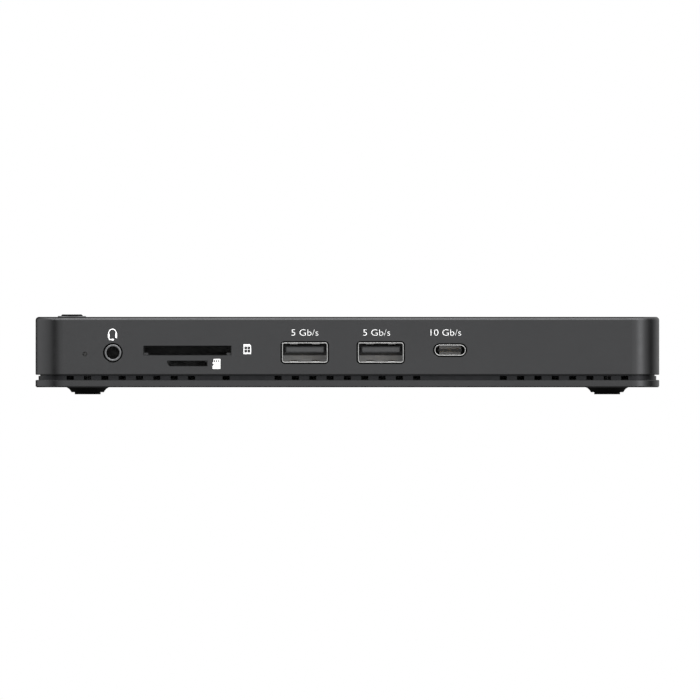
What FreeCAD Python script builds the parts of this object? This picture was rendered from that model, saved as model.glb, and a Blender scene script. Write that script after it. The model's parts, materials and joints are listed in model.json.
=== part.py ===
"""Laptop docking station: a low aluminium casing full of sockets, on a base plate with four feet.

Millimetres, +X to the right, the front face towards -Y, +Z up.  The origin is the middle of the
footprint, on the surface that the feet stand on.
"""

import FreeCAD, Part
import math
import os
import Sketcher

Vector = FreeCAD.Vector

# ---------------------------------------------------------------- driving dimensions

DIMENSIONS = {
    # casing
    "case_width": 178.2,
    "case_depth": 85.0,
    "case_height": 16.56,
    "case_corner": 7.8,
    "case_wall": 1.5,
    "case_roof": 1.5,
    "case_edge": 1.0,
    "case_rim": 0.15,
    "opening_edge": 0.12,
    "port_gap": 0.3,
    "port_setback": 0.15,
    "cut_margin": 0.5,
    # base plate, vent frame and feet
    "plate_thickness": 2.1,
    "plate_edge": 0.35,
    "plate_rib_width": 1.4,
    "plate_rib_height": 2.6,
    "vent_height": 1.47,
    "vent_recess": 0.85,
    "vent_wall": 1.95,
    "vent_lip": 1.8,
    "vent_pitch": 4.95,
    "vent_slot_width": 2.05,
    "vent_groove_height": 0.3,
    "vent_groove_depth": 0.45,
    "vent_blind_depth": 0.3,
    "part_gap": 0.1,
    "foot_inset_side": 14.9,
    "foot_inset_front": 16.5,
    "foot_height": 2.0,
    "foot_flare_radius": 6.1,
    "foot_neck_radius": 4.65,
    "foot_flare_curve": 2.6,
    "foot_pad_radius": 3.7,
    "foot_pad_height": 0.6,
    # casing screws, from below into bosses under the roof
    "boss_radius": 2.75,
    "case_screw_radius": 1.2,
    "case_screw_length": 9.0,
    "case_screw_head_radius": 2.3,
    "case_screw_head_height": 1.2,
    "screw_gap": 0.05,
    # circuit board
    "board_thickness": 1.2,
    "board_edge_gap": 1.0,
    "board_corner": 5.0,
    "post_height": 5.65,
    "post_radius": 2.3,
    "post_inset_side": 7.1,
    "post_inset_end": 9.5,
    "post_front_left": 25.2,
    "post_front_right": 52.0,
    "post_rear_left": 41.0,
    "post_rear_right": 34.3,
    "board_screw_radius": 0.8,
    "board_screw_length": 4.5,
    "board_screw_head_radius": 1.8,
    "board_screw_head_height": 0.9,
    # power button
    "button_inset_side": 10.4,
    "button_inset_front": 10.0,
    "button_radius": 3.1,
    "button_rise": 0.7,
    "button_bevel": 0.35,
    "button_travel": 0.4,
    "button_play": 0.09,
    "ring_wall": 0.5,
    "ring_rise": 0.25,
    "ring_flange_radius": 4.15,
    "cap_flange_radius": 3.95,
    "cap_flange_height": 0.6,
    "cap_stem_radius": 1.3,
    "switch_size": 4.5,
    "switch_height": 1.6,
    "switch_floor": 0.3,
    "plunger_radius": 1.1,
    "plunger_rise": 0.75,
    # status light
    "light_inset_side": 14.1,
    "light_axis": 0.55,
    "light_pipe_radius": 0.5,
    "light_pipe_length": 3.6,
    "light_collar_radius": 0.85,
    "light_collar_length": 0.7,
    "led_width": 1.6,
    "led_depth": 0.8,
    "led_height": 1.0,
    # headset jack
    "jack_inset_side": 22.1,
    "jack_axis": 0.91,
    "jack_bore_radius": 1.8,
    "jack_bore_depth": 14.5,
    "jack_sleeve_radius": 2.45,
    "jack_sleeve_length": 2.6,
    "jack_sleeve_lip": 0.2,
    "jack_body_width": 6.2,
    "jack_body_height": 5.0,
    "jack_body_depth": 15.5,
    "jack_slot_height": 0.8,
    "jack_spring_thickness": 0.25,
    # memory card sockets
    "card_inset_side": 43.4,
    "sd_axis": 1.55,
    "sd_width": 25.0,
    "sd_height": 2.6,
    "sd_rail_width": 1.2,
    "sd_rail_height": 0.7,
    "sd_side_wall": 1.7,
    "sd_channel": 2.1,
    "sd_depth": 30.5,
    "sd_end_wall": 1.2,
    "sd_stop_start": 22.0,
    "sd_stop_depth": 2.0,
    "sd_bar_length": 14.0,
    "sd_travel": 2.0,
    "sd_cover": 0.2,
    "microsd_axis": 0.95,
    "microsd_width": 11.4,
    "microsd_height": 1.45,
    "microsd_rail_width": 0.6,
    "microsd_rail_height": 0.35,
    "microsd_side_wall": 0.9,
    "microsd_channel": 1.4,
    "microsd_depth": 16.0,
    "microsd_end_wall": 0.8,
    "microsd_stop_start": 10.5,
    "microsd_stop_depth": 1.2,
    "microsd_bar_length": 7.0,
    "microsd_travel": 1.2,
    "microsd_cover": 0.15,
    "slider_gap": 0.15,
    "spring_wire_radius": 0.11,
    "spring_pitch": 0.62,
    # USB-A receptacle
    "usb_a_axis": 0.95,
    "usb_a_width": 13.1,
    "usb_a_height": 5.8,
    "usb_a_corner": 0.75,
    "usb_a_depth": 14.0,
    "usb_a_throat": 9.6,
    "usb_a_tongue_width": 11.1,
    "usb_a_tongue_thickness": 1.84,
    "usb_a_tongue_rise": 0.9,
    "usb_a_tongue_start": 0.8,
    "usb_a_tongue_bevel": 0.32,
    "usb_a_contact_width": 1.0,
    "usb_a_contact_inner": 1.0,
    "usb_a_contact_outer": 3.5,
    "usb_a_contact_thickness": 0.14,
    "shell_thickness": 0.3,
    "shell_lip": 0.14,
    "usb_a_left_place": 12.17,
    "usb_a_right_place": 9.54,
    # USB-C receptacle
    "usb_c_axis": 1.65,
    "usb_c_width": 9.0,
    "usb_c_height": 3.2,
    "usb_c_depth": 7.6,
    "usb_c_throat": 5.6,
    "usb_c_tongue_width": 6.7,
    "usb_c_tongue_thickness": 0.7,
    "usb_c_tongue_start": 0.55,
    "usb_c_front_place": 29.35,
    # rear sockets, distance of each from the middle
    "usb_c_power_place": 64.5,
    "usb_c_host_place": 50.0,
    "displayport_place": 27.0,
    "displayport_axis": 2.95,
    "displayport_width": 16.7,
    "displayport_height": 5.4,
    "displayport_bevel": 1.9,
    "displayport_tongue_width": 13.5,
    "displayport_tongue_thickness": 1.2,
    "hdmi_place": 4.0,
    "hdmi_axis": 2.95,
    "hdmi_width": 14.6,
    "hdmi_height": 5.2,
    "hdmi_bevel": 1.7,
    "hdmi_tongue_width": 11.0,
    "hdmi_tongue_thickness": 1.2,
    "video_depth": 11.5,
    "video_throat": 8.6,
    "video_tongue_start": 1.0,
    "ethernet_place": 21.5,
    "ethernet_axis": 3.2,
    "ethernet_width": 15.6,
    "ethernet_height": 11.8,
    "ethernet_depth": 18.0,
    "ethernet_throat": 12.5,
    "ethernet_cavity_width": 11.8,
    "ethernet_cavity_height": 7.4,
    "ethernet_cavity_rise": 0.5,
    "ethernet_latch_width": 6.2,
    "ethernet_latch_height": 1.2,
    "ethernet_shield": 0.25,
    "ethernet_contact_pitch": 1.02,
    "ethernet_contact_thickness": 0.35,
    "ethernet_contact_length": 9.0,
    "ethernet_contact_slope": 14.0,
    "usb_a_rear_left_place": 46.5,
    "usb_a_rear_right_place": 62.5,
    # chips and cooling
    "chip_height": 1.0,
    "pad_height": 0.5,
    "chip_row": 10.0,
    "hub_chip_size": 10.0,
    "hub_chip_place": 2.0,
    "video_chip_size": 13.0,
    "video_chip_place": 34.0,
    "ethernet_chip_size": 6.0,
    "power_chip_size": 5.0,
    "spreader_width": 58.0,
    "spreader_depth": 30.0,
    "spreader_centre": 18.0,
    "spreader_plate": 1.6,
    "spreader_fin_height": 3.2,
    "spreader_fin_gap": 2.2,
    "spreader_fin_pitch": 3.5,
    "inductor_size": 6.6,
    "inductor_height": 2.8,
    "inductor_pitch": 8.4,
    "capacitor_radius": 3.15,
    "capacitor_height": 5.8,
    "capacitor_pitch": 7.6,
}

# ---------------------------------------------------------------- places worked out from them

HALF_WIDTH = "(dims.case_width / 2)"
HALF_DEPTH = "(dims.case_depth / 2)"
PLATE_TOP = "(dims.foot_height + dims.plate_thickness)"
CASE_BOTTOM = f"({PLATE_TOP} + dims.vent_height)"
CASE_TOP = f"({CASE_BOTTOM} + dims.case_height)"
CEILING = f"({CASE_TOP} - dims.case_roof)"
BOARD_BOTTOM = f"({PLATE_TOP} + dims.post_height)"
BOARD_TOP = f"({BOARD_BOTTOM} + dims.board_thickness)"
BOARD_INSET = "(dims.case_wall + dims.board_edge_gap)"
BUTTON_X = f"(dims.button_inset_side - {HALF_WIDTH})"
BUTTON_Y = f"(dims.button_inset_front - {HALF_DEPTH})"
LIGHT_X = f"(dims.light_inset_side - {HALF_WIDTH})"
LIGHT_Z = f"({BOARD_TOP} + dims.light_axis)"
JACK_X = f"(dims.jack_inset_side - {HALF_WIDTH})"
JACK_Z = f"({BOARD_TOP} + dims.jack_axis)"
CARD_X = f"(dims.card_inset_side - {HALF_WIDTH})"
SD_Z = f"({BOARD_TOP} + dims.sd_axis)"
MICROSD_Z = f"({BOARD_BOTTOM} - dims.microsd_axis)"
USB_A_Z = f"({BOARD_TOP} + dims.usb_a_axis)"
USB_C_Z = f"({BOARD_TOP} + dims.usb_c_axis)"
DISPLAYPORT_Z = f"({BOARD_TOP} + dims.displayport_axis)"
HDMI_Z = f"({BOARD_TOP} + dims.hdmi_axis)"
ETHERNET_Z = f"({BOARD_TOP} + dims.ethernet_axis)"

RING_BORE = "(dims.button_radius + dims.button_play)"
RING_OUTER = f"({RING_BORE} + dims.ring_wall)"

FOOT_X = f"({HALF_WIDTH} - dims.foot_inset_side)"
FOOT_Y = f"({HALF_DEPTH} - dims.foot_inset_front)"
CORNERS = [
    (f"{side_x} * {FOOT_X}", f"{side_y} * {FOOT_Y}")
    for side_x in (-1, 1)
    for side_y in (-1, 1)
]
POST_X = f"({HALF_WIDTH} - dims.post_inset_side)"
POST_Y = f"({HALF_DEPTH} - dims.post_inset_end)"
POSTS = [
    ("-dims.post_front_left", f"-{POST_Y}"),
    ("dims.post_front_right", f"-{POST_Y}"),
    ("-dims.post_rear_left", POST_Y),
    ("dims.post_rear_right", POST_Y),
    (f"-{POST_X}", "0"),
    (POST_X, "0"),
]

# Rear sockets are named as seen from the front: x grows to the right.
USB_A_PORTS = {
    "front_usb_a_left": ("-dims.usb_a_left_place", "front"),
    "front_usb_a_right": ("dims.usb_a_right_place", "front"),
    "rear_usb_a_left": ("dims.usb_a_rear_left_place", "rear"),
    "rear_usb_a_right": ("dims.usb_a_rear_right_place", "rear"),
}
USB_A_UNDERSIDE = "(dims.usb_a_tongue_rise - dims.usb_a_tongue_thickness / 2)"
USB_A_CONTACT_START = "(dims.usb_a_tongue_start + 2 * dims.usb_a_tongue_bevel)"
USB_A_CONTACTS = [
    f"{side} * dims.usb_a_contact_{row}" for side in (-1, 1) for row in ("inner", "outer")
]
USB_C_PORTS = {
    "front_usb_c": ("dims.usb_c_front_place", "front"),
    "host_usb_c": ("-dims.usb_c_host_place", "rear"),
    "power_usb_c": ("-dims.usb_c_power_place", "rear"),
}

doc = FreeCAD.newDocument("docking_station")
sheet = doc.addObject("Spreadsheet::Sheet", "dims")
for row, (alias, value) in enumerate(DIMENSIONS.items(), start=1):
    sheet.set(f"A{row}", str(value))
    sheet.setAlias(f"A{row}", alias)
doc.recompute()

nodes = []


# ---------------------------------------------------------------- drawing helpers


def keep(made, label):
    """Give a finished sub-part its label and put it on the list of nodes."""
    made.Label = label
    nodes.append(made)
    return made


def new_body(name):
    return doc.addObject("PartDesign::Body", name)


def bind(made, **expressions):
    """Bind properties to expressions; a double underscore in a name stands for a dot."""
    for name, expression in expressions.items():
        made.setExpression(name.replace("__", "."), expression)
    return made


def place(made, x="0", y="0", z="0"):
    return bind(made, Placement__Base__x=x, Placement__Base__y=y, Placement__Base__z=z)


def turn(made, axis, degrees):
    made.Placement = FreeCAD.Placement(Vector(), FreeCAD.Rotation(Vector(*axis), degrees))
    return made


def origin_feature(body, role):
    return [found for found in body.Origin.OriginFeatures if found.Role == role][0]


def sketch(body, plane, across="0", up="0", out="0"):
    """A sketch on an origin plane, its own origin moved by three expressions.

    On XY_Plane up is +Y and out is +Z; on XZ_Plane up is +Z and out is -Y.
    """
    drawn = body.newObject("Sketcher::SketchObject", body.Name + "_sketch")
    drawn.AttachmentSupport = [(origin_feature(body, plane), "")]
    drawn.MapMode = "FlatFace"
    bind(
        drawn,
        AttachmentOffset__Base__x=across,
        AttachmentOffset__Base__y=up,
        AttachmentOffset__Base__z=out,
    )
    return drawn


def dimension(drawn, name, constraint, expression):
    index = drawn.addConstraint(constraint)
    drawn.renameConstraint(index, name)
    drawn.setExpression("Constraints." + name, expression)


def rounded_rectangle(drawn, width, height, radius):
    """A rectangle with round corners, centred on the sketch's origin."""
    half_width, half_height, corner = 5.0, 4.0, 1.0
    centres = [
        (half_width - corner, corner - half_height),
        (half_width - corner, half_height - corner),
        (corner - half_width, half_height - corner),
        (corner - half_width, corner - half_height),
    ]
    quarter = math.pi / 2
    arcs = [
        Part.ArcOfCircle(
            Part.Circle(Vector(x, y, 0), Vector(0, 0, 1), corner),
            (index - 1) * quarter,
            index * quarter,
        )
        for index, (x, y) in enumerate(centres)
    ]
    sides = [
        Part.LineSegment(arcs[index].EndPoint, arcs[(index + 1) % 4].StartPoint)
        for index in range(4)
    ]
    drawn.addGeometry(arcs + sides, False)
    rules = [Sketcher.Constraint("Symmetric", 0, 3, 2, 3, -1, 1)]
    for index in range(4):
        rules.append(Sketcher.Constraint("Tangent", index, 2, 4 + index, 1))
        rules.append(Sketcher.Constraint("Tangent", 4 + index, 2, (index + 1) % 4, 1))
        rules.append(Sketcher.Constraint(("Vertical", "Horizontal")[index % 2], 4 + index))
    for index in range(3):
        rules.append(Sketcher.Constraint("Equal", index, index + 1))
    drawn.addConstraint(rules)
    span_x = Sketcher.Constraint("DistanceX", 6, 1, 4, 1, 2 * half_width)
    span_y = Sketcher.Constraint("DistanceY", 7, 1, 5, 1, 2 * half_height)
    dimension(drawn, "width", span_x, width)
    dimension(drawn, "height", span_y, height)
    dimension(drawn, "radius", Sketcher.Constraint("Radius", 0, corner), radius)
    return drawn


def pin_point(drawn, name, geometry, end, x, y):
    """Hold one point of a sketch at two expressions, measured from the sketch's origin."""
    now = drawn.getPoint(geometry, end)
    for kind, start, expression in (("DistanceX", now.x, x), ("DistanceY", now.y, y)):
        rule = Sketcher.Constraint(kind, -1, 1, geometry, end, start)
        dimension(drawn, f"{name}_{kind[-1].lower()}", rule, expression)


def circles(drawn, radius, centres=(("0", "0"),)):
    for index, (x, y) in enumerate(centres):
        drawn.addGeometry(Part.Circle(Vector(index, 1, 0), Vector(0, 0, 1), 1.0), False)
        pin_point(drawn, f"centre{index}", index, 3, x, y)
        dimension(drawn, f"radius{index}", Sketcher.Constraint("Radius", index, 1.0), radius)
    return drawn


def polygon(drawn, points):
    """A closed outline of straight sides, its corners at pairs of expressions."""
    count = len(points)
    first = drawn.GeometryCount
    start = [
        Vector(math.cos(2 * math.pi * index / count), math.sin(2 * math.pi * index / count), 0)
        for index in range(count)
    ]
    for index in range(count):
        drawn.addGeometry(Part.LineSegment(start[index], start[(index + 1) % count]), False)
    for index in range(count):
        after = first + (index + 1) % count
        drawn.addConstraint(Sketcher.Constraint("Coincident", first + index, 2, after, 1))
    for index, (x, y) in enumerate(points, start=first):
        pin_point(drawn, f"corner{index}", index, 1, x, y)
    return drawn


def rectangle(drawn, width, height, x="0", y="0"):
    """A sharp-cornered rectangle, centred on the sketch's origin or on another point."""
    half_x, half_y = f"({width}) / 2", f"({height}) / 2"
    corners = [(-1, -1), (1, -1), (1, 1), (-1, 1)]
    return polygon(drawn, [(f"{x} + {i} * {half_x}", f"{y} + {j} * {half_y}") for i, j in corners])


def pad(body, drawn, length, reverse=False):
    made = body.newObject("PartDesign::Pad", body.Name + "_pad")
    made.Profile = drawn
    made.Reversed = reverse
    return bind(made, Length=length)


def pocket(body, drawn, length, reverse=False):
    """Cut away from the sketch's normal, or along it when reversed; it has to remove something."""
    doc.recompute()
    before = body.Shape.Volume
    made = body.newObject("PartDesign::Pocket", body.Name + "_pocket")
    made.Profile = drawn
    made.Reversed = reverse
    bind(made, Length=length)
    doc.recompute()
    if body.Shape.Volume >= before:
        raise RuntimeError(f"{made.Name} of {body.Name} cuts nothing")
    return made


def revolve(body, drawn):
    """Turn a sketch on XZ_Plane once round the body's Z axis."""
    made = body.newObject("PartDesign::Revolution", body.Name + "_revolution")
    made.Profile = drawn
    made.ReferenceAxis = (origin_feature(body, "Z_Axis"), [""])
    made.Angle = 360
    return made


def repeat(body, feature, axis, length, count):
    """Repeat a feature along one of the body's axes over a length."""
    pattern = body.newObject("PartDesign::LinearPattern", body.Name + "_pattern")
    pattern.Originals = [feature]
    pattern.Direction = (origin_feature(body, axis), [""])
    pattern.Occurrences = count
    bind(pattern, Length=length)
    body.Tip = pattern
    return pattern


def lies_at(edge, axis, value):
    return all(abs(getattr(vertex.Point, axis) - value) < 1e-4 for vertex in edge.Vertexes)


def inner_rim(body):
    """Picks the edges round the hole in a body's face at y = 0."""
    doc.recompute()
    mouth = next(face for face in body.Shape.Faces if lies_at(face, "y", 0))
    outside = mouth.OuterWire.Edges
    return lambda edge: lies_at(edge, "y", 0) and not any(edge.isSame(far) for far in outside)


def edge_names(shape, wanted):
    return [f"Edge{index}" for index, edge in enumerate(shape.Edges, start=1) if wanted(edge)]


def dress(body, kind, size, wanted):
    """Fillet or chamfer the edges of the body's last feature that a test picks."""
    doc.recompute()
    base = body.Tip
    made = body.newObject("PartDesign::" + kind, body.Name + "_" + kind.lower())
    made.Base = (base, edge_names(base.Shape, wanted))
    return bind(made, **{"Radius" if kind == "Fillet" else "Size": size})


def block(name, x, y, z):
    """A Part::Box between three pairs of expressions, (low, high) along each axis."""
    made = doc.addObject("Part::Box", name)
    bind(made, Length=f"{x[1]} - ({x[0]})", Width=f"{y[1]} - ({y[0]})", Height=f"{z[1]} - ({z[0]})")
    return place(made, x[0], y[0], z[0])


def centred_block(name, centre, size, z):
    """A Part::Box centred at (x, y), of size (along x, along y), between two heights."""
    spans = [(f"{c} - ({s}) / 2", f"{c} + ({s}) / 2") for c, s in zip(centre, size)]
    return block(name, spans[0], spans[1], z)


def cylinder(name, radius, z, centre=("0", "0")):
    made = doc.addObject("Part::Cylinder", name)
    bind(made, Radius=radius, Height=f"{z[1]} - ({z[0]})")
    return place(made, centre[0], centre[1], z[0])


def combine(kind, name, pieces):
    """A fusion, or a group of separate solids, of several Part objects."""
    made = doc.addObject("Part::" + kind, name)
    if kind == "Compound":
        made.Links = pieces
    else:
        made.Shapes = pieces
    return made


def cut(name, base, tool):
    made = doc.addObject("Part::Cut", name)
    made.Base = base
    made.Tool = tool
    return made


def set_in(made, x, side, z):
    """Place a socket's piece, modelled with its mouth at y = 0 and its back towards +Y."""
    if side == "rear":
        turn(made, (0, 0, 1), 180)
    sign = "-" if side == "front" else ""
    return place(made, x, f"{sign}({HALF_DEPTH} - dims.port_setback)", z)


# ---------------------------------------------------------------- casing, plate, vents and feet


def casing_outline(drawn, inset):
    """The rounded plan outline of the whole dock, drawn in by an inset."""
    return rounded_rectangle(
        drawn,
        f"dims.case_width - 2 * ({inset})",
        f"dims.case_depth - 2 * ({inset})",
        f"dims.case_corner - ({inset})",
    )


def open_wall(housing, side, x, z, draw):
    """Cut one opening through the front or the rear wall; draw fills in its outline."""
    out = HALF_DEPTH if side == "front" else f"-{HALF_DEPTH}"
    drawn = sketch(housing, "XZ_Plane", x, z, out)
    draw(drawn)
    pocket(housing, drawn, "dims.case_wall + dims.cut_margin", reverse=side == "rear")


def draw_sd_slot(drawn):
    rectangle(drawn, "dims.sd_width", "dims.sd_height")


def draw_microsd_slot(drawn):
    """A thin slot with a sloping lower left corner, as the card's own edge has."""
    half, high = "dims.microsd_width / 2", "dims.microsd_height / 2"
    slope = "(dims.microsd_width / 2 - dims.microsd_rail_width)"
    corners = [(f"-{slope}", f"-{high}"), (half, f"-{high}"), (half, high), (f"-{half}", high)]
    polygon(drawn, corners + [(f"-{half}", "0")])


def draw_shell_opening(name, corner):
    """The outline round a socket's metal shell, with the port gap added."""

    def draw(drawn):
        rounded_rectangle(
            drawn,
            f"dims.{name}_width + 2 * dims.port_gap",
            f"dims.{name}_height + 2 * dims.port_gap",
            f"{corner} + dims.port_gap",
        )

    return draw


def bevelled_outline(drawn, name, grow, cut_left, cut_right):
    """A rectangle grown by an amount, with its lower left or lower right corner cut, or both."""
    half = f"(dims.{name}_width / 2 + {grow})"
    high = f"(dims.{name}_height / 2 + {grow})"
    bevel = f"dims.{name}_bevel"
    points = [(half, high), (f"-{half}", high)]
    if cut_left:
        points += [(f"-{half}", f"{bevel} - {high}"), (f"{bevel} - {half}", f"-{high}")]
    else:
        points.append((f"-{half}", f"-{high}"))
    if cut_right:
        points += [(f"{half} - {bevel}", f"-{high}"), (half, f"{bevel} - {high}")]
    else:
        points.append((half, f"-{high}"))
    return polygon(drawn, points)


def break_opening_edges(housing):
    """A small chamfer round every opening in the front and the rear face."""
    face = sheet.case_depth / 2
    low = sheet.foot_height + sheet.plate_thickness + sheet.vent_height
    high = low + sheet.case_height - sheet.case_edge

    def wanted(edge):
        heights = [vertex.Point.z for vertex in edge.Vertexes]
        inside = min(heights) > low + 1e-3 and max(heights) < high - 1e-3
        return inside and (lies_at(edge, "y", -face) or lies_at(edge, "y", face))

    dress(housing, "Chamfer", "dims.opening_edge", wanted)


def break_outer_edge(body, height):
    """A fine chamfer along the dock's outer outline at one height."""
    side = (sheet.case_width - sheet.case_wall) / 2
    end = (sheet.case_depth - sheet.case_wall) / 2

    def wanted(edge):
        outside = any(
            abs(vertex.Point.x) > side or abs(vertex.Point.y) > end for vertex in edge.Vertexes
        )
        return outside and lies_at(edge, "z", height)

    dress(body, "Chamfer", "dims.case_rim", wanted)


def top_housing():
    housing = new_body("top_housing")
    outline = casing_outline(sketch(housing, "XY_Plane", out=CASE_BOTTOM), "0")
    pad(housing, outline, "dims.case_height")
    doc.recompute()
    roof = housing.Shape.BoundBox.ZMax
    dress(housing, "Fillet", "dims.case_edge", lambda edge: lies_at(edge, "z", roof))
    hollow = casing_outline(sketch(housing, "XY_Plane", out=CASE_BOTTOM), "dims.case_wall")
    pocket(housing, hollow, "dims.case_height - dims.case_roof", reverse=True)

    bosses = circles(sketch(housing, "XY_Plane", out=CEILING), "dims.boss_radius", CORNERS)
    pad(housing, bosses, f"{CEILING} - {PLATE_TOP}", reverse=True)
    bores = circles(
        sketch(housing, "XY_Plane", out=PLATE_TOP),
        "dims.case_screw_radius + dims.screw_gap",
        CORNERS,
    )
    pocket(housing, bores, "dims.case_screw_length", reverse=True)
    break_outer_edge(housing, sheet.foot_height + sheet.plate_thickness + sheet.vent_height)

    button_hole = circles(sketch(housing, "XY_Plane", BUTTON_X, BUTTON_Y, CASE_TOP), RING_OUTER)
    pocket(housing, button_hole, "dims.case_roof + dims.cut_margin")

    open_wall(
        housing,
        "front",
        LIGHT_X,
        LIGHT_Z,
        lambda drawn: circles(drawn, "dims.light_pipe_radius + dims.screw_gap"),
    )
    open_wall(
        housing,
        "front",
        JACK_X,
        JACK_Z,
        lambda drawn: circles(drawn, "dims.jack_sleeve_radius + dims.port_gap"),
    )
    open_wall(housing, "front", CARD_X, SD_Z, draw_sd_slot)
    open_wall(housing, "front", CARD_X, MICROSD_Z, draw_microsd_slot)
    for x, side in USB_A_PORTS.values():
        open_wall(housing, side, x, USB_A_Z, draw_shell_opening("usb_a", "dims.usb_a_corner"))
    for x, side in USB_C_PORTS.values():
        corner = "dims.usb_c_height / 2 - dims.screw_gap"
        open_wall(housing, side, x, USB_C_Z, draw_shell_opening("usb_c", corner))
    open_wall(
        housing,
        "rear",
        "-dims.displayport_place",
        DISPLAYPORT_Z,
        lambda drawn: bevelled_outline(drawn, "displayport", "dims.port_gap", False, True),
    )
    open_wall(
        housing,
        "rear",
        "-dims.hdmi_place",
        HDMI_Z,
        lambda drawn: bevelled_outline(drawn, "hdmi", "dims.port_gap", True, True),
    )
    open_wall(
        housing,
        "rear",
        "dims.ethernet_place",
        ETHERNET_Z,
        draw_shell_opening("ethernet", "dims.port_gap"),
    )
    break_opening_edges(housing)
    return keep(housing, "top_housing")


def vent_frame():
    """The ring that the casing sits on: a recessed band with slots, a groove between the band and
    the casing, and a lip inside the casing.
    """
    frame = new_body("vent_frame")
    band = casing_outline(sketch(frame, "XY_Plane", out=PLATE_TOP), "dims.vent_recess")
    pad(frame, band, "dims.vent_height - dims.vent_groove_height")
    groove_floor = casing_outline(
        sketch(frame, "XY_Plane", out=PLATE_TOP), "dims.vent_recess + dims.vent_groove_depth"
    )
    pad(frame, groove_floor, "dims.vent_height")
    lip = casing_outline(
        sketch(frame, "XY_Plane", out=CASE_BOTTOM), "dims.case_wall + dims.part_gap"
    )
    pad(frame, lip, "dims.vent_lip")
    inside = casing_outline(
        sketch(frame, "XY_Plane", out=PLATE_TOP), "dims.vent_recess + dims.vent_wall"
    )
    pocket(frame, inside, "dims.vent_height + dims.vent_lip", reverse=True)
    band_face = f"({HALF_DEPTH} - dims.vent_recess)"
    for first, count, is_open in vent_runs():
        ways = [(band_face, False)] if is_open else [(band_face, False), (f"-{band_face}", True)]
        depth = f"2 * {band_face}" if is_open else "dims.vent_blind_depth"
        for out, reverse in ways:
            hole = pocket(frame, vent_slot(frame, first, out), depth, reverse)
            if count > 1:
                repeat(frame, hole, "X_Axis", f"{count - 1} * dims.vent_pitch", count)
    return keep(frame, "vent_frame")


def vent_runs():
    """The row of slots as runs of neighbours: (first place, how many, open or blind).

    Places are counted from the middle, and the row fills the straight stretch of the wall.
    """
    straight = sheet.case_width / 2 - sheet.case_corner - sheet.vent_slot_width
    last = int(straight / sheet.vent_pitch)
    blind = (-8, -6, -5, 5, 6, 7, 8)
    runs = []
    for index in range(-last, last + 1):
        is_open = index not in blind
        if runs and runs[-1][2] == is_open:
            runs[-1][1] += 1
        else:
            runs.append([index, 1, is_open])
    return runs


def vent_slot(frame, index, out):
    height = "(dims.vent_height - dims.vent_groove_height)"
    middle = f"({PLATE_TOP} + {height} / 2)"
    drawn = sketch(frame, "XZ_Plane", f"{index} * dims.vent_pitch", middle, out)
    return rectangle(drawn, "dims.vent_slot_width", height)


def base_plate():
    plate = new_body("base_plate")
    outline = casing_outline(sketch(plate, "XY_Plane", out="dims.foot_height"), "0")
    pad(plate, outline, "dims.plate_thickness")
    doc.recompute()
    low = plate.Shape.BoundBox.ZMin
    dress(plate, "Chamfer", "dims.plate_edge", lambda edge: lies_at(edge, "z", low))
    break_outer_edge(plate, sheet.foot_height + sheet.plate_thickness)
    # A rib between the two end posts stiffens the plate and screens the front vents from the rear.
    rib = rectangle(
        sketch(plate, "XY_Plane", out=PLATE_TOP), f"2 * {POST_X}", "dims.plate_rib_width"
    )
    pad(plate, rib, "dims.plate_rib_height")
    posts = circles(sketch(plate, "XY_Plane", out=PLATE_TOP), "dims.post_radius", POSTS)
    pad(plate, posts, "dims.post_height")
    threads = circles(
        sketch(plate, "XY_Plane", out=BOARD_BOTTOM),
        "dims.board_screw_radius + dims.screw_gap",
        POSTS,
    )
    pocket(plate, threads, "dims.board_screw_length")
    head_seats = circles(
        sketch(plate, "XY_Plane", out="dims.foot_height"),
        "dims.case_screw_head_radius + 2 * dims.screw_gap",
        CORNERS,
    )
    pocket(plate, head_seats, "dims.case_screw_head_height", reverse=True)
    shanks = circles(
        sketch(plate, "XY_Plane", out="dims.foot_height"),
        "dims.case_screw_radius + 2 * dims.screw_gap",
        CORNERS,
    )
    pocket(plate, shanks, "dims.plate_thickness", reverse=True)
    return keep(plate, "base_plate")


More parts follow.
